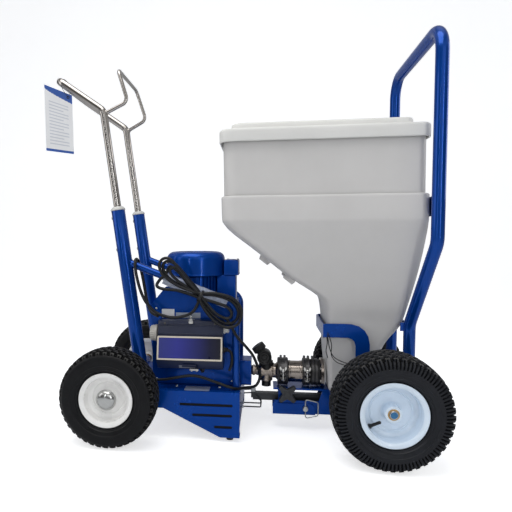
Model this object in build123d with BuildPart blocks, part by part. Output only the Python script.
from build123d import *
import math
import os

# Hopper-fed airless sprayer built as two coupled carts, in millimetres.
# Everything is drawn level in the machine frame: +X forward (towards the hopper), +Y to the
# machine's left, +Z up, X = 0 close to the rear axle. At the end each piece is turned nose up by
# TILT, because the front wheels are larger, and moved so that the origin is on the ground at the
# centre of the whole machine's bounding box.

CUT = Mode.SUBTRACT
SIDES = (-1, 1)                 # machine's right, machine's left

# ---------------------------------------------------------------- driving dimensions
REAR_AXLE_X, REAR_AXLE_Z = 11.7, 168.85
FRONT_AXLE_X, FRONT_AXLE_Z = 886.6, 160.6
REAR_TYRE_R, REAR_TYRE_W = 160.0, 108.0
FRONT_TYRE_R, FRONT_TYRE_W = 176.0, 142.0
REAR_LIP_R, FRONT_LIP_R = 88.0, 98.0        # rim lips
REAR_HALF_TRACK, FRONT_HALF_TRACK = 275.3, 266.9
REAR_HUB_HALF, FRONT_HUB_HALF = 34.0, 50.0  # half length of the hubs
AXLE_R = 12.7                   # 1 in axle
AXLE_CARRIER_R = 19.0
BUSH_R = 16.95
HUB_BORE_R = 17.0

# nose-up angle at which both pairs of wheels stand on level ground
WHEELBASE_X = FRONT_AXLE_X - REAR_AXLE_X
AXLE_RISE = FRONT_AXLE_Z - REAR_AXLE_Z
TILT = (math.asin((FRONT_TYRE_R - REAR_TYRE_R) / math.hypot(WHEELBASE_X, AXLE_RISE))
        - math.atan2(AXLE_RISE, WHEELBASE_X))
ORIGIN_X = 387.741              # shift of the origin along level ground
# height of the ground in the turned frame
ORIGIN_Z = REAR_AXLE_X * math.sin(TILT) + REAR_AXLE_Z * math.cos(TILT) - REAR_TYRE_R

HANDLE_Y = 136.0                # half spacing of the handle tubes
HANDLE_TUBE_R, HANDLE_TUBE_IN = 23.5, 21.0
COLLAR_X, COLLAR_Z = 6.0, 778.0             # top end of the lower handle tube
BEND_X, BEND_Z = -40.534, 1118.0            # bend between handle leg and grip

SHEET = 3.0
DECK_X0, DECK_X1 = 20.0, 429.0
DECK_Y = 190.0                  # half width of the rear deck
DECK_Z = 168.0                  # top of the rear deck
FRONT_DECK_Z = 145.0            # top of the front deck
FRONT_DECK_UNDER = FRONT_DECK_Z - 6

LINE_Z = 196.5                  # axis of pump and suction line
GEAR_TEETH, PINION_TEETH, MODULE = 56, 14, 2.0
CRANK_X = 188.0
MOTOR_X = CRANK_X + MODULE * (GEAR_TEETH + PINION_TEETH) / 2
THROW = 25.0                    # crank throw, so the stroke is 50
ROD_LENGTH = 90.0
CRANK_PIN_X = CRANK_X + THROW
WRIST_X = CRANK_PIN_X + ROD_LENGTH

HOUSE_X0, HOUSE_X1 = 118.0, 412.0
HOUSE_Y = 105.0                 # half width of the drive housing
HOUSE_Z0, HOUSE_Z1 = DECK_Z, 455.0

# screw positions shared by the holes and the screws
COVER_SCREWS = [(x, z) for z in (184, 436) for x in (HOUSE_X0 + 14, HOUSE_X1 - 14)]
DECK_SCREWS = [(x, y) for y in (-135, 135) for x in (208, 357)]
HANDLE_SCREWS = (24, 134)       # distances below the top of the lower handle tube
SCREW_R, SCREW_HEAD_R = 3.0, 6.0


# ---------------------------------------------------------------- drawing helpers
# Each helper draws and closes its own sketch, then adds to or cuts from the open BuildPart.
def block(x0, x1, y0, y1, z0, z1, mode=Mode.ADD):
    with BuildSketch(Plane.XY.offset(z0)) as section:
        with Locations(((x0 + x1) / 2, (y0 + y1) / 2)):
            Rectangle(x1 - x0, y1 - y0)
    extrude(section.sketch, amount=z1 - z0, mode=mode)


def span(side, near, far):
    """Ascending Y limits of a strip between two distances from the middle plane."""
    return sorted((side * near, side * far))


def rod_on(plane, length, radius, inner=0.0, mode=Mode.ADD):
    with BuildSketch(plane) as section:
        Circle(radius)
        if inner:
            Circle(inner, mode=CUT)
    extrude(section.sketch, amount=length, mode=mode)


def rod_x(y, z, x0, x1, radius, inner=0.0, mode=Mode.ADD):
    plane = Plane(origin=(x0, y, z), x_dir=(0, 1, 0), z_dir=(1, 0, 0))
    rod_on(plane, x1 - x0, radius, inner, mode)


def rod_y(x, z, y0, y1, radius, inner=0.0, mode=Mode.ADD):
    plane = Plane(origin=(x, y1, z), x_dir=(1, 0, 0), z_dir=(0, -1, 0))
    rod_on(plane, y1 - y0, radius, inner, mode)


def rod_z(x, y, z0, z1, radius, inner=0.0, mode=Mode.ADD):
    plane = Plane(origin=(x, y, z0), x_dir=(1, 0, 0), z_dir=(0, 0, 1))
    rod_on(plane, z1 - z0, radius, inner, mode)


def plate_on(plane, points, thickness, mode, corner):
    with BuildSketch(plane) as section:
        with BuildLine() as outline:
            Polyline(*points, close=True)
        make_face(outline.edges())
        if corner:
            fillet(section.vertices(), corner)
    extrude(section.sketch, amount=thickness, mode=mode)


def plate_xz(points, y0, y1, mode=Mode.ADD, corner=0.0):
    plane = Plane(origin=(0, y1, 0), x_dir=(1, 0, 0), z_dir=(0, -1, 0))
    plate_on(plane, points, y1 - y0, mode, corner)


def plate_yz(points, x0, x1, mode=Mode.ADD, corner=0.0):
    plane = Plane(origin=(x0, 0, 0), x_dir=(0, 1, 0), z_dir=(1, 0, 0))
    plate_on(plane, points, x1 - x0, mode, corner)


def cut_slot_xz(x0, x1, z, width, y0, y1):
    with BuildSketch(Plane(origin=(0, y1, 0), x_dir=(1, 0, 0), z_dir=(0, -1, 0))) as section:
        with Locations(((x0 + x1) / 2, z)):
            SlotOverall(x1 - x0, width)
    extrude(section.sketch, amount=y1 - y0, mode=CUT)


def cut_hole_ring(x, z, depth, pitch_radius, count, radius):
    """Vertical holes on a circle about the point x, 0."""
    with BuildSketch(Plane.XY.offset(z)) as holes:
        with Locations((x, 0)):
            with PolarLocations(pitch_radius, count):
                Circle(radius)
    extrude(holes.sketch, amount=depth, mode=CUT)


def vane_ring(x, z, height, pitch_radius, count, length, thickness):
    """Upright radial vanes, centred on a circle about the point x, 0."""
    with BuildSketch(Plane.XY.offset(z)) as vanes:
        with Locations((x, 0)):
            with PolarLocations(pitch_radius, count):
                Rectangle(length, thickness)
    extrude(vanes.sketch, amount=height)


def turn_y(points, x, y, z):
    """Revolve an outline of (distance along Y, radius) about the Y line through x, z."""
    with BuildSketch(Plane(origin=(x, y, z), x_dir=(0, 1, 0), z_dir=(1, 0, 0))) as section:
        with BuildLine() as outline:
            Polyline(*points, close=True)
        make_face(outline.edges())
    revolve(section.sketch, axis=Axis((x, y, z), (0, 1, 0)))


def turn_z(points, x):
    """Revolve an outline of (radius, height) about the vertical line through x, 0."""
    with BuildSketch(Plane(origin=(x, 0, 0), x_dir=(1, 0, 0), z_dir=(0, -1, 0))) as section:
        with BuildLine() as outline:
            Polyline(*points, close=True)
        make_face(outline.edges())
    revolve(section.sketch, axis=Axis((x, 0, 0), (0, 0, 1)))


def rounded_path(points, bend):
    """Straight runs joined by tangent arcs of radius bend. Called inside a BuildLine."""
    points = [Vector(*point) for point in points]
    start = points[0]
    for before, knee, after in zip(points, points[1:], points[2:]):
        to_before = (before - knee).normalized()
        to_after = (after - knee).normalized()
        half_angle = math.acos(max(-1.0, min(1.0, to_before.dot(to_after)))) / 2
        setback = bend / math.tan(half_angle)
        arc_start = knee + to_before * setback
        arc_end = knee + to_after * setback
        middle = knee + (to_before + to_after).normalized() * (bend / math.sin(half_angle) - bend)
        Line(start, arc_start)
        ThreePointArc(arc_start, middle, arc_end)
        start = arc_end
    Line(start, points[-1])


def pipe(points, radius, inner=0.0, bend=0.0, mode=Mode.ADD):
    with BuildLine() as run:
        rounded_path(points, bend)
    with BuildSketch(Plane(origin=run.line @ 0, z_dir=run.line % 0)) as section:
        Circle(radius)
        if inner:
            Circle(inner, mode=CUT)
    sweep(section.sketch, path=run.line, mode=mode)


def cable(points, radius):
    with BuildLine() as run:
        Spline(*points)
    with BuildSketch(Plane(origin=run.line @ 0, z_dir=run.line % 0)) as section:
        Circle(radius)
    sweep(section.sketch, path=run.line)


def tub_outline(x0, x1, half, rear, front_x, front_y):
    """Rectangle x0..x1 by -half..half with cut corners: rear square, front front_x by front_y."""
    return [(x0 + rear, -half), (x1 - front_x, -half), (x1, -half + front_y),
            (x1, half - front_y), (x1 - front_x, half), (x0 + rear, half),
            (x0, half - rear), (x0, -half + rear)]


def tub(sections, mode=Mode.ADD):
    """Ruled body through level sections, each row z followed by the tub_outline values."""
    faces = []
    for z, *sizes in sections:
        with BuildSketch(Plane.XY.offset(z)) as section:
            with BuildLine() as outline:
                Polyline(*tub_outline(*sizes), close=True)
            make_face(outline.edges())
        faces.append(section.sketch)
    for first, second in zip(faces, faces[1:]):
        loft([first, second], ruled=True, mode=mode)


# the handle tubes' own direction, and the direction square to it, rearwards
HANDLE_DOWN = Vector(COLLAR_X - BEND_X, 0, COLLAR_Z - BEND_Z).normalized()
HANDLE_BACK = Vector(HANDLE_DOWN.Z, 0, -HANDLE_DOWN.X)


def on_handle(distance, side, offset=0.0):
    """Point at a distance below the lower tube's top end, offset rearwards from its axis."""
    return (COLLAR_X + HANDLE_DOWN.X * distance + HANDLE_BACK.X * offset,
            side * HANDLE_Y,
            COLLAR_Z + HANDLE_DOWN.Z * distance + HANDLE_BACK.Z * offset)


def rod_off_handle(distance, side, offset, length, radius, mode=Mode.ADD):
    """Rod pointing rearwards, square to the handle tube."""
    plane = Plane(origin=on_handle(distance, side, offset), z_dir=HANDLE_BACK)
    rod_on(plane, length, radius, mode=mode)


pieces = {}


def keep(builder, name):
    pieces[name] = builder.part


# ---------------------------------------------------------------- wheels
def tyre_outline(radius, width, lip):
    """Hollow carcass, open at the beads; (distance along Y, radius)."""
    half = width / 2
    seat = lip - 11
    wall = radius - lip
    outside = [(half - 14, seat), (half - 14, lip + 1), (half - 7, lip + wall * 0.2),
               (half, lip + wall * 0.5), (half - 1.5, lip + wall * 0.72),
               (half - 7, radius - 11), (half - 16, radius - 4), (half - 34, radius - 0.8)]
    inside = [(half - 26, seat), (half - 23, lip + 8), (half - 12, lip + wall * 0.5),
              (half - 18, radius - 18)]
    return (outside + [(0, radius)] + [(-y, r) for y, r in reversed(outside)]
            + [(-y, r) for y, r in inside] + [(0, radius - 13)] + inside[::-1])


def rim_outline(width, lip, hub_half, web, side):
    """Rim, web and hub; (distance along Y, radius). side is the outer face's direction."""
    half = width / 2
    seat = lip - 11
    points = [
        (-half + 14, seat), (half - 14, seat), (half - 14, lip - 1),
        (half - 12.5, lip), (half - 9.5, lip), (half - 8.2, lip - 2), (half - 10.5, seat - 5),
        (web + 22, seat - 5), (web + 9, seat - 12), (web + 5, seat - 22),
        (web + 3, 44), (web + 3, 23.5),
        (hub_half, 23.5), (hub_half, HUB_BORE_R), (-hub_half, HUB_BORE_R), (-hub_half, 23),
        (web - 2, 23), (web - 1, 44), (web + 1, seat - 24), (web + 4, seat - 5),
        (-half + 10.5, seat - 5), (-half + 8.2, lip - 2), (-half + 9.5, lip),
        (-half + 12.5, lip), (-half + 14, lip - 1)]
    return [(side * y, radius) for y, radius in points]


# end, axle x, axle z, half track, tyre radius, tyre width, lip radius, hub half length, web offset
WHEELS = [
    ("front", FRONT_AXLE_X, FRONT_AXLE_Z, FRONT_HALF_TRACK,
     FRONT_TYRE_R, FRONT_TYRE_W, FRONT_LIP_R, FRONT_HUB_HALF, 8),
    ("rear", REAR_AXLE_X, REAR_AXLE_Z, REAR_HALF_TRACK,
     REAR_TYRE_R, REAR_TYRE_W, REAR_LIP_R, REAR_HUB_HALF, 6),
]
for end, axle_x, axle_z, half_track, tyre_r, tyre_w, lip_r, hub_half, web in WHEELS:
    for hand, side in (("right", -1), ("left", 1)):
        with BuildPart() as tyre:
            turn_y(tyre_outline(tyre_r, tyre_w, lip_r), axle_x, side * half_track, axle_z)
        keep(tyre, f"{end}_{hand}_tyre")

        with BuildPart() as rim:
            turn_y(rim_outline(tyre_w, lip_r, hub_half, web, side),
                   axle_x, side * half_track, axle_z)
        keep(rim, f"{end}_{hand}_rim")

# plain bushes, one at each wheel, fixed on the axles inside the turning hubs
with BuildPart() as wheel_bushes:
    for side in SIDES:
        for _, axle_x, axle_z, half_track, _, _, _, hub_half, _ in WHEELS:
            middle = side * half_track
            rod_y(axle_x, axle_z, middle - hub_half, middle + hub_half, BUSH_R, AXLE_R)
keep(wheel_bushes, "wheel_bushes")

REAR_AXLE_END = REAR_HALF_TRACK + 40
with BuildPart() as rear_axle:
    rod_y(REAR_AXLE_X, REAR_AXLE_Z, -REAR_AXLE_END, REAR_AXLE_END, AXLE_R)
    chamfer(rear_axle.edges().filter_by(GeomType.CIRCLE), 1.2)
keep(rear_axle, "rear_axle")

FRONT_AXLE_END = FRONT_HALF_TRACK + 55
with BuildPart() as front_axle:
    rod_y(FRONT_AXLE_X, FRONT_AXLE_Z, -FRONT_AXLE_END, FRONT_AXLE_END, AXLE_R)
    chamfer(front_axle.edges().filter_by(GeomType.CIRCLE), 1.5)
keep(front_axle, "front_axle")

# domed chrome caps pressed over the rear axle ends; (distance outwards, radius)
CAP_OUTLINE = [(0, AXLE_R), (0, 28), (1.5, 28), (6, 25.5), (10, 20), (12.5, 12),
               (13.5, 0), (5.2, 0), (5.2, AXLE_R)]
with BuildPart() as axle_caps:
    for side in SIDES:
        turn_y([(side * out, radius) for out, radius in CAP_OUTLINE],
               REAR_AXLE_X, side * (REAR_AXLE_END - 5), REAR_AXLE_Z)
keep(axle_caps, "axle_caps")

# ---------------------------------------------------------------- rear cart
SKIRT_Z0 = 14.0                 # lower edge of the skirts
SKIRT_Z1 = 164.5
SKIRT = [(30, SKIRT_Z1), (DECK_X1, SKIRT_Z1), (DECK_X1, SKIRT_Z0), (363, SKIRT_Z0),
         (170, 107), (30, 107)]
SKIRT_SLOTS = [(226, 406, 123), (269, 404, 88), (343, 404, 49)]     # x0, x1, z
SLOT_WIDTH = 9.5
DECK_FOOT_X, DECK_FOOT_Y = 395, 170
REAR_CARRIER_Y = 215.0          # half length of the rear axle carrier

with BuildPart() as rear_deck:
    block(DECK_X0, DECK_X1, -DECK_Y, DECK_Y, DECK_Z - 4, DECK_Z)
    for side in SIDES:
        y0, y1 = span(side, DECK_Y - SHEET, DECK_Y)
        plate_xz(SKIRT, y0, y1)
        for x0, x1, z in SKIRT_SLOTS:
            cut_slot_xz(x0, x1, z, SLOT_WIDTH, y0 - 1, y1 + 1)
    # front web, then the return flanges for the feet
    block(DECK_X1 - SHEET, DECK_X1, -DECK_Y + 1, DECK_Y - 1, 50, DECK_Z - 3)
    for side in SIDES:
        block(370, DECK_X1, *span(side, DECK_Y - 40, DECK_Y), SKIRT_Z0, SKIRT_Z0 + SHEET)
    # axle carrier
    rod_y(REAR_AXLE_X, REAR_AXLE_Z, -REAR_CARRIER_Y, REAR_CARRIER_Y, AXLE_CARRIER_R)
    rod_y(REAR_AXLE_X, REAR_AXLE_Z, -REAR_CARRIER_Y - 1, REAR_CARRIER_Y + 1, AXLE_R, mode=CUT)
    for x, y in DECK_SCREWS:
        rod_z(x, y, DECK_Z - 5, DECK_Z + 1, SCREW_R, mode=CUT)
    for side in SIDES:
        rod_z(DECK_FOOT_X, side * DECK_FOOT_Y, SKIRT_Z0 - 1, SKIRT_Z0 + 4, 4, mode=CUT)
keep(rear_deck, "rear_deck")

with BuildPart() as deck_feet:
    for side in SIDES:
        rod_z(DECK_FOOT_X, side * DECK_FOOT_Y, 3, SKIRT_Z0, 12)
        rod_z(DECK_FOOT_X, side * DECK_FOOT_Y, SKIRT_Z0, SKIRT_Z0 + 8, 4)
keep(deck_feet, "deck_feet")

with BuildPart() as lower_handle_tubes:
    for side in SIDES:
        pipe([on_handle(0, side), on_handle(640, side)], HANDLE_TUBE_R, HANDLE_TUBE_IN)
        for distance in HANDLE_SCREWS:
            rod_off_handle(distance, side, 18, 8, SCREW_R, mode=CUT)
    # trim the tubes flush with the top of the deck
    block(40, 140, -180, 180, 100, DECK_Z, mode=CUT)
keep(lower_handle_tubes, "lower_handle_tubes")

LEG_R, LEG_IN = 13.0, 11.2      # chrome handle tube
COLLAR_R = 25.5
COLLAR_BORE_R = LEG_R + 0.05
with BuildPart() as handle_collars:
    for side in SIDES:
        pipe([on_handle(-12, side), on_handle(0, side)], COLLAR_R, COLLAR_BORE_R)
        pipe([on_handle(0, side), on_handle(14, side)], HANDLE_TUBE_IN, COLLAR_BORE_R)
    circles = handle_collars.edges().filter_by(GeomType.CIRCLE)
    outer_circles = circles.filter_by(lambda edge: abs(edge.radius - COLLAR_R) < 0.1)
    chamfer(outer_circles.sort_by(Axis.Z)[-2:], 5)
keep(handle_collars, "handle_collars")

BRACE_X = 414                   # upright part of the brace tubes
with BuildPart() as brace_tubes:
    for side in SIDES:
        y = side * HANDLE_Y
        pipe([(20, y, 606.5), (BRACE_X, y, 456.5), (BRACE_X, y, DECK_Z)], 13, 11, bend=45)
        # cope the upper end around the handle tube
        pipe([on_handle(60, side), on_handle(330, side)], HANDLE_TUBE_R, mode=CUT)
keep(brace_tubes, "brace_tubes")

# ---------------------------------------------------------------- drive housing
HOUSE_WALL = 6
HOUSE_ROOF = 12
CRANK_BEARING_R = 20
MOTOR_BEARING_R = 17
PUMP_R = 28                     # outside of the pump cylinder

HOUSE_OUTER = [(HOUSE_X0, HOUSE_Z0), (HOUSE_X1, HOUSE_Z0), (HOUSE_X1, HOUSE_Z1),
               (HOUSE_X0 + 36, HOUSE_Z1), (HOUSE_X0, HOUSE_Z1 - 44)]
HOUSE_INNER = [(HOUSE_X0 + HOUSE_WALL, HOUSE_Z0 + HOUSE_WALL),
               (HOUSE_X1 - HOUSE_WALL, HOUSE_Z0 + HOUSE_WALL),
               (HOUSE_X1 - HOUSE_WALL, HOUSE_Z1 - HOUSE_ROOF),
               (HOUSE_X0 + 40, HOUSE_Z1 - HOUSE_ROOF),
               (HOUSE_X0 + HOUSE_WALL, HOUSE_Z1 - 50)]
with BuildPart() as drive_housing:
    plate_xz(HOUSE_OUTER, -HOUSE_Y, HOUSE_Y)
    plate_xz(HOUSE_INNER, -HOUSE_Y - 1, HOUSE_Y - HOUSE_WALL, mode=CUT)
    # shelf and seat for the lower crank bearing
    block(HOUSE_X0 + 4, 262, -60, HOUSE_Y - 4, 326, 338)
    rod_z(CRANK_X, 0, 320, 345, CRANK_BEARING_R, mode=CUT)
    # upper crank bearing seat
    rod_z(CRANK_X, 0, HOUSE_Z1 - 13, HOUSE_Z1 - 2, CRANK_BEARING_R, mode=CUT)
    # motor shaft passage
    rod_z(MOTOR_X, 0, HOUSE_Z1 - 14, HOUSE_Z1 + 1, MOTOR_BEARING_R, mode=CUT)
    # pump cylinder passage, and room under the cylinder
    rod_x(0, LINE_Z, HOUSE_X1 - 8, HOUSE_X1 + 2, PUMP_R, mode=CUT)
    block(334, HOUSE_X1 + 1, -30, 30, HOUSE_Z0 - 1, HOUSE_Z0 + 10, mode=CUT)
keep(drive_housing, "drive_housing")

COVER_Y = HOUSE_Y + 5           # outer face of the cover, on the machine's right
COVER = [(HOUSE_X0 - 2, 171), (HOUSE_X1 + 2, 171), (HOUSE_X1 + 2, 452), (300, 510),
         (166, 513), (HOUSE_X0 - 2, 452)]
with BuildPart() as drive_cover:
    plate_xz(COVER, -COVER_Y, -HOUSE_Y, corner=6)
    for x, z in COVER_SCREWS:
        rod_y(x, z, -COVER_Y - 1, -HOUSE_Y + 1, SCREW_R, mode=CUT)
keep(drive_cover, "drive_cover")

# ---------------------------------------------------------------- motor
MOTOR_Z0, MOTOR_Z1, MOTOR_TOP = HOUSE_Z1, 548.0, 634.0
TERMINAL_X = MOTOR_X + 83       # rear face of the terminal box
MOTOR_SHAFT_R = 10

with BuildPart() as motor_case:
    rod_z(MOTOR_X, 0, MOTOR_Z0, MOTOR_Z1, 84)
    # cooling fins
    vane_ring(MOTOR_X, MOTOR_Z0 + 8, MOTOR_Z1 - MOTOR_Z0 - 8, pitch_radius=86, count=30,
              length=14, thickness=3.2)
    # stator bore, bearing seats, and the flat for the terminal box
    rod_z(MOTOR_X, 0, MOTOR_Z0 + 12, MOTOR_Z1 - 8, 47, mode=CUT)
    rod_z(MOTOR_X, 0, MOTOR_Z0 - 1, MOTOR_Z1 + 1, MOTOR_BEARING_R, mode=CUT)
    block(TERMINAL_X, 361, -60, 60, 440, 560, mode=CUT)
keep(motor_case, "motor_case")

# thin shell: outside upwards from the rim, then back down the inside; (radius, z)
FAN_COVER = [(80, MOTOR_Z1), (107, MOTOR_Z1), (107, 612), (105, 621), (98, 629),
             (86, MOTOR_TOP), (0, MOTOR_TOP), (0, MOTOR_TOP - 2.5), (85, MOTOR_TOP - 2.5),
             (96, 626.4), (102.6, 619.6), (104.4, 611), (104.4, MOTOR_Z1 + 2.5),
             (80, MOTOR_Z1 + 2.5)]
AIR_HOLES = [(22, 8), (38, 12), (54, 18), (70, 24)]     # pitch radius, count
with BuildPart() as fan_cover:
    turn_z(FAN_COVER, MOTOR_X)
    for pitch_radius, count in AIR_HOLES:
        cut_hole_ring(MOTOR_X, MOTOR_TOP - 5, 8, pitch_radius, count, radius=4)
keep(fan_cover, "fan_cover")

with BuildPart() as terminal_box:
    block(TERMINAL_X, 408, -42, 42, 457, 548)
    block(365.5, 417, -46, 46, 548, 605)
    # hollow both halves and join them
    block(TERMINAL_X + 5, 404, -38, 38, 462, 544, mode=CUT)
    block(369.5, 413, -42, 42, 552, 601, mode=CUT)
    block(371, 402, -36, 36, 540, 556, mode=CUT)
keep(terminal_box, "terminal_box")

with BuildPart() as motor_rotor:
    rod_z(MOTOR_X, 0, 369, 606, MOTOR_SHAFT_R)
    rod_z(MOTOR_X, 0, 470, 536, 45)
keep(motor_rotor, "motor_rotor")

FAN_Z = 560
with BuildPart() as cooling_fan:
    rod_z(MOTOR_X, 0, FAN_Z, FAN_Z + 40, 20)
    vane_ring(MOTOR_X, FAN_Z, 36, pitch_radius=50, count=8, length=64, thickness=2.5)
    rod_z(MOTOR_X, 0, FAN_Z, FAN_Z + 3, 80)
    rod_z(MOTOR_X, 0, FAN_Z - 5, FAN_Z + 50, MOTOR_SHAFT_R, mode=CUT)
keep(cooling_fan, "cooling_fan")

# ---------------------------------------------------------------- gears and crank
PRESSURE_ANGLE = math.radians(25.0)
BACKLASH = 0.25
FLANK_STEPS = 3                 # straight pieces along each tooth flank
CRANKSHAFT_R = 12


def involute(angle):
    return math.tan(angle) - angle


def gear_outline(teeth, turn):
    """Involute teeth as a polyline; turn is the first tooth's angle in degrees."""
    pitch_r = teeth * MODULE / 2
    base_r = pitch_r * math.cos(PRESSURE_ANGLE)
    tip_r = pitch_r + MODULE * 0.95
    root_r = pitch_r - MODULE * 1.25
    base_half = math.pi / 2 / teeth - BACKLASH / 2 / pitch_r + involute(PRESSURE_ANGLE)
    flank_r = max(base_r, root_r)
    radii = [flank_r + (tip_r - flank_r) * i / FLANK_STEPS for i in range(FLANK_STEPS + 1)]
    halves = [base_half - involute(math.acos(min(1.0, base_r / radius))) for radius in radii]
    if root_r < base_r:
        radii = [root_r] + radii
        halves = [halves[0]] + halves
    # up the one flank, down the other
    flanks = [(radius, -half) for radius, half in zip(radii, halves)]
    flanks += [(radius, -angle) for radius, angle in reversed(flanks)]
    points = []
    for i in range(teeth):
        middle = math.radians(turn) + 2 * math.pi * i / teeth
        for radius, angle in flanks:
            points.append((radius * math.cos(middle + angle), radius * math.sin(middle + angle)))
    return points


def toothed_disc(x, z, thickness, teeth, turn):
    with BuildSketch(Plane(origin=(x, 0, z))) as section:
        with BuildLine():
            Polyline(*gear_outline(teeth, turn), close=True)
        make_face()
    extrude(section.sketch, amount=thickness)


with BuildPart() as pinion:
    # turned by half a tooth to mesh with the drive gear
    toothed_disc(MOTOR_X, 375, 26, PINION_TEETH, 180.0 / PINION_TEETH)
    rod_z(MOTOR_X, 0, 370, 410, MOTOR_SHAFT_R, mode=CUT)
keep(pinion, "pinion")

with BuildPart() as drive_gear:
    toothed_disc(CRANK_X, 378, 20, GEAR_TEETH, 0.0)
    rod_z(CRANK_X, 0, 366, 378, 22)
    cut_hole_ring(CRANK_X, 377, 30, pitch_radius=36, count=6, radius=8)
    rod_z(CRANK_X, 0, 360, 405, CRANKSHAFT_R, mode=CUT)
keep(drive_gear, "drive_gear")

with BuildPart() as crankshaft:
    rod_z(CRANK_X, 0, 225, 452, CRANKSHAFT_R)
    rod_z(CRANK_X, 0, 225, 242, 41)
    # crank pin, ends just above the bottom of the rod's eye
    rod_z(CRANK_PIN_X, 0, LINE_Z + 10, 226, 8)
keep(crankshaft, "crankshaft")

with BuildPart() as shaft_bearings:
    rod_z(MOTOR_X, 0, 456, 467, MOTOR_BEARING_R, MOTOR_SHAFT_R + 0.03)
    rod_z(MOTOR_X, 0, 540, 547.5, MOTOR_BEARING_R, MOTOR_SHAFT_R + 0.03)
    rod_z(CRANK_X, 0, HOUSE_Z1 - 12, HOUSE_Z1 - 3, CRANK_BEARING_R, CRANKSHAFT_R + 0.03)
    rod_z(CRANK_X, 0, 327, 337, CRANK_BEARING_R, CRANKSHAFT_R + 0.03)
keep(shaft_bearings, "shaft_bearings")

WRIST_PIN_R = 5
with BuildPart() as connecting_rod:
    block(CRANK_PIN_X, WRIST_X, -8, 8, LINE_Z - 8, LINE_Z + 8)
    rod_z(CRANK_PIN_X, 0, LINE_Z - 9.5, LINE_Z + 9.5, 16)
    rod_z(WRIST_X, 0, LINE_Z - 9, LINE_Z + 9, 12)
    rod_z(CRANK_PIN_X, 0, LINE_Z - 12, LINE_Z + 12, 8.2, mode=CUT)
    rod_z(WRIST_X, 0, LINE_Z - 12, LINE_Z + 12, WRIST_PIN_R + 0.05, mode=CUT)
keep(connecting_rod, "connecting_rod")

with BuildPart() as piston_rod:
    rod_x(0, LINE_Z, WRIST_X + 16, 412, 11)
    rod_x(0, LINE_Z, 396, 415, 19.95)
    # fork around the connecting rod, with the wrist pin
    block(WRIST_X + 14, WRIST_X + 22, -14, 14, LINE_Z - 17, LINE_Z + 17)
    block(WRIST_X - 12, WRIST_X + 15, -12, 12, LINE_Z + 9.3, LINE_Z + 17)
    block(WRIST_X - 12, WRIST_X + 15, -12, 12, LINE_Z - 17, LINE_Z - 9.3)
    rod_z(WRIST_X, 0, LINE_Z - 17, LINE_Z + 17, WRIST_PIN_R)
keep(piston_rod, "piston_rod")

# ---------------------------------------------------------------- pump and suction line
PUMP_BORE_R = 20
LINE_BORE_R = 13.5
MANIFOLD_X0, MANIFOLD_X1 = HOUSE_X1, 463
TEE_X = 517.0

with BuildPart() as pump_cylinder:
    rod_x(0, LINE_Z, 338, MANIFOLD_X0, PUMP_R)
    rod_x(0, LINE_Z, 345, MANIFOLD_X0 + 1, PUMP_BORE_R, mode=CUT)
    rod_x(0, LINE_Z, 337, 346, 11.05, mode=CUT)
keep(pump_cylinder, "pump_cylinder")

with BuildPart() as pump_manifold:
    plate_yz([(-45, 150), (45, 150), (45, 240), (-45, 240)], MANIFOLD_X0, MANIFOLD_X1, corner=8)
    # step that sits on the deck's front edge
    block(MANIFOLD_X0 - 1, DECK_X1, -46, 46, 149, DECK_Z, mode=CUT)
    rod_x(0, LINE_Z, MANIFOLD_X0 - 1, 440, PUMP_BORE_R, mode=CUT)
    rod_x(0, LINE_Z, 439, MANIFOLD_X1 + 1, 14, mode=CUT)
    # hose outlet nipple
    rod_y(444, 215, 40, 86, 13)
    rod_y(444, 215, 20, 87, 8, mode=CUT)
keep(pump_manifold, "pump_manifold")

with BuildPart() as inlet_tee:
    rod_x(0, LINE_Z, MANIFOLD_X1, 500, 18)
    rod_x(0, LINE_Z, 494, 540, 25)
    rod_z(TEE_X, 0, 161, 226, 21)
    rod_x(0, LINE_Z, MANIFOLD_X1 - 1, 541, LINE_BORE_R, mode=CUT)
    rod_z(TEE_X, 0, 160, 227, 14, mode=CUT)
keep(inlet_tee, "inlet_tee")

with BuildPart() as drain_plug:
    rod_z(TEE_X, 0, 161, 174, 14)
    with BuildSketch(Plane.XY.offset(140)) as plug_head:
        with Locations((TEE_X, 0)):
            RegularPolygon(17, 8)
    extrude(plug_head.sketch, amount=21)
    chamfer(drain_plug.faces().sort_by(Axis.Z)[0].edges(), 2)
keep(drain_plug, "drain_plug")

VALVE_X, VALVE_Z = 510.0, 252.5
ARM_X, ARM_Z = -0.6, 0.8        # direction of the valve's arm, up and rearwards
CAP_DISTANCE = 24               # from the valve's centre along the arm
with BuildPart() as valve_body:
    rod_z(TEE_X, 0, 226, 242, 17)
    rod_z(TEE_X, 0, 212, 226, 14)
    rod_y(VALVE_X, VALVE_Z, -22, 22, 25)
    rod_on(Plane(origin=(VALVE_X, 0, VALVE_Z), z_dir=(ARM_X, 0, ARM_Z)), 25, 17)
    cap_origin = (VALVE_X + CAP_DISTANCE * ARM_X, 0, VALVE_Z + CAP_DISTANCE * ARM_Z)
    with BuildSketch(Plane(origin=cap_origin, z_dir=(ARM_X, 0, ARM_Z))) as valve_cap:
        RegularPolygon(21, 8)
    extrude(valve_cap.sketch, amount=14)
    rod_y(VALVE_X, VALVE_Z, -30, -10, 6.05, mode=CUT)
keep(valve_body, "valve_body")

with BuildPart() as valve_knob:
    rod_y(VALVE_X, VALVE_Z, -40, -24, 23)
    rod_y(VALVE_X, VALVE_Z, -26, -11, 6)
    # dished face with a bar across it
    rod_y(VALVE_X, VALVE_Z, -41, -34, 15, mode=CUT)
    block(VALVE_X - 14, VALVE_X + 14, -39, -33, VALVE_Z - 3, VALVE_Z + 3)
keep(valve_knob, "valve_knob")

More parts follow.
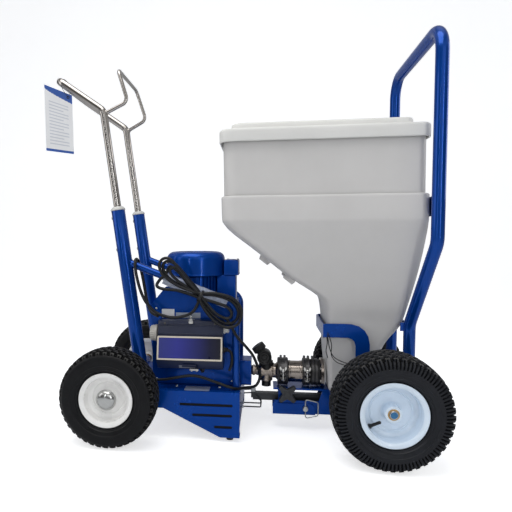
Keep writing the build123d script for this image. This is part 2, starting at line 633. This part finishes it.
PIPE_X0, PIPE_X1 = 572, 692
PIPE_R = 38
PIPE_FLANGE_R = 44
with BuildPart() as reducer:
    rod_x(0, LINE_Z, 540, 552, 24)
    rod_x(0, LINE_Z, 552, 568, 33)
    rod_x(0, LINE_Z, 566, PIPE_X0, PIPE_FLANGE_R)
    rod_x(0, LINE_Z, 539, PIPE_X0 + 1, LINE_BORE_R, mode=CUT)
keep(reducer, "reducer")

with BuildPart() as inlet_pipe:
    rod_x(0, LINE_Z, PIPE_X0, PIPE_X1, PIPE_R)
    rod_x(0, LINE_Z, PIPE_X0, PIPE_X0 + 6, PIPE_FLANGE_R)
    rod_x(0, LINE_Z, 654, 664, PIPE_FLANGE_R)
    rod_x(0, LINE_Z, PIPE_X0 - 1, PIPE_X1 + 1, 35.5, mode=CUT)
keep(inlet_pipe, "inlet_pipe")

CLAMP_R = 50
CLAMP_SCREW_Y = -64.0
CLAMP_SCREW_R = 4
CLAMP_GAP = 0.6                 # half the gap between the clamp halves
CLAMPS = [                      # name of its screw, x0, x1, bore radius of the rear end
    ("rear_wing_screw", 557, 595, 34),
    ("front_wing_screw", 646, 673, 39),
]
with BuildPart() as pipe_clamps:
    for _, x0, x1, rear_bore in CLAMPS:
        rod_x(0, LINE_Z, x0, x1, CLAMP_R, PIPE_FLANGE_R)
        rod_x(0, LINE_Z, x0, x0 + 5, CLAMP_R, rear_bore)
        rod_x(0, LINE_Z, x1 - 5, x1, CLAMP_R, 38.2)
        middle = (x0 + x1) / 2
        for side in SIDES:      # ears, below and above the gap
            ear = [(-76, 4), (-47, 4), (-47, 13), (-76, 11)]
            plate_yz([(y, LINE_Z + side * rise) for y, rise in ear], middle - 10, middle + 10)
        block(x0 - 1, x1 + 1, -80, 60, LINE_Z - CLAMP_GAP, LINE_Z + CLAMP_GAP, mode=CUT)
        rod_z(middle, CLAMP_SCREW_Y, LINE_Z - 30, LINE_Z + 30, CLAMP_SCREW_R + 0.05, mode=CUT)
        # hinge lugs on the machine's left, then the cast lug on top
        block(middle - 12, middle + 12, 49, 58, LINE_Z - 9, LINE_Z - CLAMP_GAP)
        block(middle - 12, middle + 12, 49, 58, LINE_Z + CLAMP_GAP, LINE_Z + 9)
        block(middle - 9, middle + 9, -12, 12, LINE_Z + 49, LINE_Z + 58)
keep(pipe_clamps, "pipe_clamps")


def wing_screw(x):
    rod_z(x, CLAMP_SCREW_Y, LINE_Z - 19, LINE_Z + 24, CLAMP_SCREW_R)
    rod_z(x, CLAMP_SCREW_Y, LINE_Z + 13.2, LINE_Z + 22, 7)
    wing_plane = Plane(origin=(0, CLAMP_SCREW_Y + 1.5, 0), x_dir=(1, 0, 0), z_dir=(0, -1, 0))
    with BuildSketch(wing_plane) as wings:
        for side in SIDES:
            with Locations((x + side * 8, LINE_Z + 24)):
                Ellipse(5.5, 8.5)
    extrude(wings.sketch, amount=3)
    rod_z(x, CLAMP_SCREW_Y, LINE_Z - 19, LINE_Z - 13.2, 7)


for name, x0, x1, _ in CLAMPS:
    with BuildPart() as clamp_screw:
        wing_screw((x0 + x1) / 2)
    keep(clamp_screw, name)

FLANGE_X0, FLANGE_X1 = 709, 720
with BuildPart() as rubber_sleeve:
    rod_x(0, LINE_Z, 674, FLANGE_X0, 46, PIPE_R)
keep(rubber_sleeve, "rubber_sleeve")

OUTLET_R = 30                   # opening into the hopper
with BuildPart() as outlet_flange:
    rod_x(0, LINE_Z, PIPE_X1 + 1, FLANGE_X1, PIPE_R)
    rod_x(0, LINE_Z, FLANGE_X0, FLANGE_X1, 51)
    rod_x(0, LINE_Z, PIPE_X1, FLANGE_X1 + 1, OUTLET_R, mode=CUT)
    # blind bolt holes in the front face
    flange_face = Plane(origin=(FLANGE_X1, 0, LINE_Z), x_dir=(0, 1, 0), z_dir=(-1, 0, 0))
    with BuildSketch(flange_face) as bolt_holes:
        with PolarLocations(45.5, 6):
            Circle(3)
    extrude(bolt_holes.sketch, amount=3, mode=CUT)
keep(outlet_flange, "outlet_flange")

# ---------------------------------------------------------------- controls on the rear cart
BOX_X0, BOX_X1 = 147.0, 372.0
BOX_WALL = 4
KNOB_Y, KNOB_Z = -146.0, 356
TOGGLE_X, TOGGLE_Y = 258, -131
# end view of the control box, (y, z)
BOX_OUTER = [(-110, 238), (-110, 400), (-148, 400), (-162, 352), (-170, 351), (-187, 270),
             (-166, 238)]
BOX_INNER = [(-114, 243), (-114, 395), (-145, 395), (-158, 347), (-166, 346), (-182, 271),
             (-163, 243)]

with BuildPart() as control_box:
    plate_yz(BOX_OUTER, BOX_X0, BOX_X1, corner=3)
    plate_yz(BOX_INNER, BOX_X0 + BOX_WALL, BOX_X1 - BOX_WALL, mode=CUT)
    rod_x(KNOB_Y, KNOB_Z, BOX_X0 - 1, BOX_X0 + 5, 6.05, mode=CUT)
    block(TOGGLE_X - 13, TOGGLE_X + 13, TOGGLE_Y - 6, TOGGLE_Y + 6, 394, 401, mode=CUT)
keep(control_box, "control_box")

with BuildPart() as pressure_knob:
    rod_x(KNOB_Y, KNOB_Z, BOX_X0 - 27, BOX_X0 - 2, 29)
    rod_x(KNOB_Y, KNOB_Z, BOX_X0 - 3, BOX_X0 + 14, 6)
    chamfer(pressure_knob.faces().sort_by(Axis.X)[0].edges(), 4)
keep(pressure_knob, "pressure_knob")

with BuildPart() as power_toggle:
    rod_z(TOGGLE_X, TOGGLE_Y, 402, 419, 3)
    rod_z(TOGGLE_X, TOGGLE_Y, 396, 403, 2.2)
    rod_x(TOGGLE_Y, 398, TOGGLE_X - 10, TOGGLE_X + 10, 2.6)     # cross pin
keep(power_toggle, "power_toggle")

with BuildPart() as pan_head_screws:
    for x, z in COVER_SCREWS:
        rod_y(x, z, -COVER_Y - 3.5, -COVER_Y, SCREW_HEAD_R)
        rod_y(x, z, -COVER_Y, -HOUSE_Y, SCREW_R)
    for x, y in DECK_SCREWS:
        rod_z(x, y, DECK_Z, DECK_Z + 3.5, SCREW_HEAD_R)
        rod_z(x, y, DECK_Z - 12, DECK_Z, SCREW_R)
    for side in SIDES:
        for distance in HANDLE_SCREWS:
            rod_off_handle(distance, side, 14.5, 10, SCREW_R)
            rod_off_handle(distance, side, HANDLE_TUBE_R + 0.1, 3.6, SCREW_HEAD_R)
keep(pan_head_screws, "pan_head_screws")

# cable radius, points (x, y, z) of its spline
CABLES = [
    # looped from the right handle tube past the housing and control box
    (5.5, [(60, -172, 636), (92, -172, 492), (150, -172, 424), (232, -170, 422),
           (283, -168, 470), (262, -170, 560), (195, -170, 596), (170, -170, 566),
           (230, -172, 512), (330, -172, 494), (404, -172, 470), (421, -172, 430),
           (388, -172, 415)]),
    # short drop at the front end of the control box
    (5, [(377, -146, 302), (389, -152, 290), (397, -158, 250), (388, -150, 200)]),
    # along the deck and round its front right corner
    (5.5, [(150, -150, 190), (210, -158, 204), (278, -162, 214), (350, -165, 200),
           (428, -166, 180), (484, -120, 156), (490, -70, 162)]),
]
with BuildPart() as cables:
    for radius, points in CABLES:
        cable(points, radius)
keep(cables, "cables")

# ---------------------------------------------------------------- telescoping chrome handle
LEG_REACH = 200                 # how far the legs reach into the lower tubes
GRIP_X, GRIP_Z = -203.0, 1230.0
LOOP_R = 6.6                    # rod of the chrome loop
LOOP_KNEE = (43, 128, 1149)     # x, half width, z of the loop's lower knees
LOOP_TOP = (8, 120, 1260)       # x, half width, z of the loop's top corners


def across(right_half):
    """Path down the right side's (x, half width, z) points and back up the left side's."""
    return ([(x, -y, z) for x, y, z in right_half]
            + [(x, y, z) for x, y, z in reversed(right_half)])


with BuildPart() as upper_handle:
    pipe(across([on_handle(LEG_REACH, 1), (BEND_X, HANDLE_Y, BEND_Z),
                 (GRIP_X, HANDLE_Y, GRIP_Z)]), LEG_R, LEG_IN, bend=32)
    pipe(across([(-34, HANDLE_Y, 1110), LOOP_KNEE, LOOP_TOP]), LOOP_R, bend=24)
keep(upper_handle, "upper_handle")

with BuildPart() as hang_tag:
    plate_xz([(-249, 1206), (-149, 1164), (-146, 974), (-251, 990)],
             -HANDLE_Y - 0.6, -HANDLE_Y + 0.6)
    rod_z(-160, -HANDLE_Y, 1160, 1190, 1.2)     # tie
    pipe([(BEND_X, -HANDLE_Y, BEND_Z), (GRIP_X, -HANDLE_Y, GRIP_Z)], LEG_R, mode=CUT)
keep(hang_tag, "hang_tag")

# ---------------------------------------------------------------- hitch and front frame
HITCH_X0, HITCH_X1 = 540.0, 690.0
PIN_X, PIN_Z = 655, 75          # hitch pin
PIN_R = 6
STAR_X, STAR_Z = 591, 127       # star knob
STAR_STUD_R = 5
CHANNEL_Y = 38                  # half width of the frame's channel
FRONT_CARRIER_Y = 178           # half length of the front axle carrier
TONGUE_BORE = (471, 757, -10, 10, 92.5, 112)

with BuildPart() as tongue_bar:
    block(468, 760, -13, 13, 89.5, 115)
    block(*TONGUE_BORE, mode=CUT)
    block(640, 672, -6, 6, 60, 90)              # lug for the hitch pin
    rod_y(PIN_X, PIN_Z, -8, 8, PIN_R + 0.05, mode=CUT)
    for side in SIDES:                          # wire bails between the bar and the deck
        y = side * 21
        pipe([(DECK_X1, y, 65), (497, y, 65), (499, y, 87), (470, y, 118), (436, y, 115)],
             2.4, bend=4)
    block(462, 478, -24, 24, 100, 121)
    block(*TONGUE_BORE, mode=CUT)
keep(tongue_bar, "tongue_bar")

with BuildPart() as front_frame:
    block(545, 1000, -CHANNEL_Y, CHANNEL_Y, 52, 56)                 # channel floor
    for side in SIDES:
        y0, y1 = span(side, CHANNEL_Y - 4, CHANNEL_Y)
        block(545, 1000, y0, y1, 52, 99)                            # channel wall
        # riser carrying the deck and the star knob's stud, then a gusset
        block(560, 605, y0, y1, 90, FRONT_DECK_Z - 4)
        plate_xz([(699, 90), (748, 90), (748, 141), (716, 141)], y0, y1)
        # hitch cheek
        plate_xz([(HITCH_X0, 50), (HITCH_X1, 50), (HITCH_X1, 78), (HITCH_X1 - 12, 90),
                  (HITCH_X0, 90)], *span(side, CHANNEL_Y, CHANNEL_Y + 5))
    # deck under line and hopper, widening forwards
    block(542, 872, -42, 42, FRONT_DECK_UNDER, FRONT_DECK_Z)
    block(735, 872, -75, 75, FRONT_DECK_UNDER, FRONT_DECK_Z)
    block(802, 868, -116, 116, FRONT_DECK_UNDER, FRONT_DECK_Z)
    # saddle and axle carrier
    block(868, 924, -CHANNEL_Y, CHANNEL_Y, 90, 150)
    rod_y(FRONT_AXLE_X, FRONT_AXLE_Z, -FRONT_CARRIER_Y, FRONT_CARRIER_Y, AXLE_CARRIER_R)
    # cross deck for the hoop's feet, and the block under it
    block(905, 1006, -135, 135, FRONT_DECK_UNDER, FRONT_DECK_Z)
    block(960, 1000, -CHANNEL_Y, CHANNEL_Y, 95, FRONT_DECK_Z - 5)
    # bores for the axle, the hitch pin and the star knob's stud
    rod_y(FRONT_AXLE_X, FRONT_AXLE_Z, -FRONT_CARRIER_Y - 1, FRONT_CARRIER_Y + 1, AXLE_R,
          mode=CUT)
    rod_y(PIN_X, PIN_Z, -45, 45, PIN_R + 0.05, mode=CUT)
    rod_y(STAR_X, STAR_Z, -45, 45, STAR_STUD_R + 0.06, mode=CUT)
keep(front_frame, "front_frame")

with BuildPart() as star_knob:
    star = []
    for i in range(8):          # four points, with hollows between them
        radius = 39 if i % 2 == 0 else 14
        angle = math.radians(45 * i)
        star.append((STAR_X + radius * math.cos(angle), STAR_Z + radius * math.sin(angle)))
    plate_xz(star, -64, -46, corner=4)
    rod_y(STAR_X, STAR_Z, -47, -43.3, 15)
    rod_y(STAR_X, STAR_Z, -46, 46, STAR_STUD_R)
keep(star_knob, "star_knob")

RING_Y = -52                    # plane of the snap ring
RING_R = 2
with BuildPart() as hitch_pin:
    rod_y(PIN_X, PIN_Z, -46, 58, PIN_R)
    rod_y(PIN_X, PIN_Z, -58, -44.2, 9)
    rod_z(PIN_X, RING_Y, 60, 90, RING_R + 0.05, mode=CUT)
keep(hitch_pin, "hitch_pin")

RING_PATH = [(PIN_X, 62), (PIN_X, 109), (699, 100), (699, 52), (PIN_X, 41), (PIN_X, 60)]  # x, z
with BuildPart() as snap_ring:
    pipe([(x, RING_Y, z) for x, z in RING_PATH], RING_R, bend=7)
keep(snap_ring, "snap_ring")

# ---------------------------------------------------------------- hoop and neck bracket
HOOP_R, HOOP_IN = 19.0, 16.5
HOOP_X, HOOP_Y, HOOP_TOP, HOOP_KNEE = 1016.0, 255.0, 1293.0, 663.0
HOOP_FOOT_X, HOOP_FOOT_Y, FOOT_KNEE = 984.0, 111.0, 395.0

with BuildPart() as hoop_frame:
    pipe(across([(HOOP_FOOT_X, HOOP_FOOT_Y, FRONT_DECK_Z), (HOOP_FOOT_X, HOOP_FOOT_Y, FOOT_KNEE),
                 (HOOP_X, HOOP_Y, HOOP_KNEE), (HOOP_X, HOOP_Y, HOOP_TOP)]),
         HOOP_R, HOOP_IN, bend=75)
    # flat crossbar at the height of the bin's upper part, and a short one between the legs
    block(1016, 1021, -240, 240, 745, 805)
    block(976, 981, -97, 97, 378, 400)
    for side in SIDES:
        block(955, 972, *span(side, 107, 113), 372, 400)
keep(hoop_frame, "hoop_frame")

NECK_ARCH = [                   # x, z
    (712, 345), (786, 345), (800, 341), (809, 332), (813, 318), (813, FRONT_DECK_Z),
    (859, FRONT_DECK_Z), (859, 325), (854, 350), (842, 370), (824, 384), (800, 391),
    (780, 392), (712, 392)]
with BuildPart() as neck_bracket:
    for side in SIDES:
        plate_xz(NECK_ARCH, *span(side, 108, 112))
    plate_yz([(-112, 345), (112, 345), (112, 390), (-112, 390)], 706, 712)
keep(neck_bracket, "neck_bracket")

# ---------------------------------------------------------------- hopper
SEAM_Z = 815.0                  # top of the bin
LEDGE_Z, LEDGE_HEIGHT = 780, 8
EXTENSION_Z = LEDGE_Z + LEDGE_HEIGHT
LID_Z0, LID_Z1, LID_Z2 = 984.0, 1026.0, 1050.0

# z, x0, x1, half width, rear corner, front corner along X, front corner along Y
BIN_OUTER = [
    (SEAM_Z, 368, 1013, 221, 40, 30, 40),
    (740, 370, 1013, 220, 40, 24, 40),
    (716, 384, 1013, 213, 40, 25, 39),
    (690, 412, 1012, 204, 37, 27, 38),
    (650, 464, 1010, 190, 34, 32, 38),
    (560, 576, 1000, 160, 28, 38, 34),
    (452, 712, 980, 126, 22, 42, 28),
    (395, 718, 968, 104, 20, 44, 24),
    (320, 720, 915, 92, 18, 24, 20),
    (FRONT_DECK_Z, 735, 852, 66, 14, 16, 16),
]
BIN_INNER = [
    (SEAM_Z + 1, 373, 1008, 216, 39, 29, 39),
    (739, 377, 1008, 215, 39, 23, 39),
    (716, 392, 1008, 208, 39, 24, 38),
    (690, 421, 1007, 199, 36, 26, 37),
    (650, 473, 1005, 185, 33, 31, 37),
    (560, 585, 995, 155, 27, 37, 33),
    (450, 721, 975, 121, 21, 41, 27),
    (394, 726, 962, 99, 19, 43, 23),
    (322, 727, 909, 87, 17, 23, 19),
    (FRONT_DECK_Z + 6, 741, 846, 61, 13, 15, 15),
]
with BuildPart() as hopper_bin:
    tub(BIN_OUTER)
    rod_x(0, LINE_Z, FLANGE_X1, 745, 47)
    for x, z in ((514, 612), (597, 546)):       # moulded lugs on the sloping back
        for side in SIDES:
            plate_xz([(x - 16, z + 15), (x + 19, z - 13), (x + 4, z - 24), (x - 24, z - 2)],
                     *span(side, 65, 105))
    tub(BIN_INNER, mode=CUT)
    rod_x(0, LINE_Z, FLANGE_X1 - 1, 760, OUTLET_R, mode=CUT)
    # ledge that carries the extension
    with BuildSketch(Plane.XY.offset(LEDGE_Z)) as ledge:
        with BuildLine() as ledge_outside:
            Polyline(*tub_outline(371, 1010, 218, 39, 29, 39), close=True)
        make_face(ledge_outside.edges())
        with BuildLine() as ledge_opening:
            Polyline(*tub_outline(388, 993, 201, 34, 24, 34), close=True)
        make_face(ledge_opening.edges(), mode=CUT)
    extrude(amount=LEDGE_HEIGHT)
keep(hopper_bin, "hopper_bin")

with BuildPart() as hopper_extension:
    tub([(EXTENSION_Z, 377, 1003, 212, 38, 28, 38),
         (LID_Z1 - 5, 374, 1001, 212, 38, 28, 38)])
    tub([(EXTENSION_Z - 1, 381, 999, 208, 36, 26, 36),
         (LID_Z1 - 4, 378, 997, 208, 36, 26, 36)], mode=CUT)
keep(hopper_extension, "hopper_extension")

with BuildPart() as hopper_lid:
    # skirt and raised panel, then both hollowed from below
    tub([(LID_Z0, 363, 1010, 228, 38, 28, 38),
         (LID_Z1, 364, 1009, 227, 38, 28, 38)])
    tub([(LID_Z1 - 0.01, 400, 966, 192, 30, 22, 30),
         (LID_Z2, 402, 964, 190, 30, 22, 30)])
    tub([(LID_Z0 - 1, 368, 1005, 222, 36, 26, 36),
         (LID_Z1 - 5, 369, 1004, 221, 36, 26, 36)], mode=CUT)
    tub([(LID_Z1 - 6, 406, 960, 186, 28, 20, 28),
         (LID_Z2 - 5, 408, 958, 184, 28, 20, 28)], mode=CUT)
keep(hopper_lid, "hopper_lid")

# ---------------------------------------------------------------- place and write
os.makedirs("parts", exist_ok=True)
nose_up = Rotation(0, -math.degrees(TILT), 0)
to_ground = Location((-ORIGIN_X, 0, -ORIGIN_Z))
for name, part in pieces.items():
    placed = to_ground * (nose_up * part)
    placed.label = name
    export_step(placed, f"parts/{name}.step")
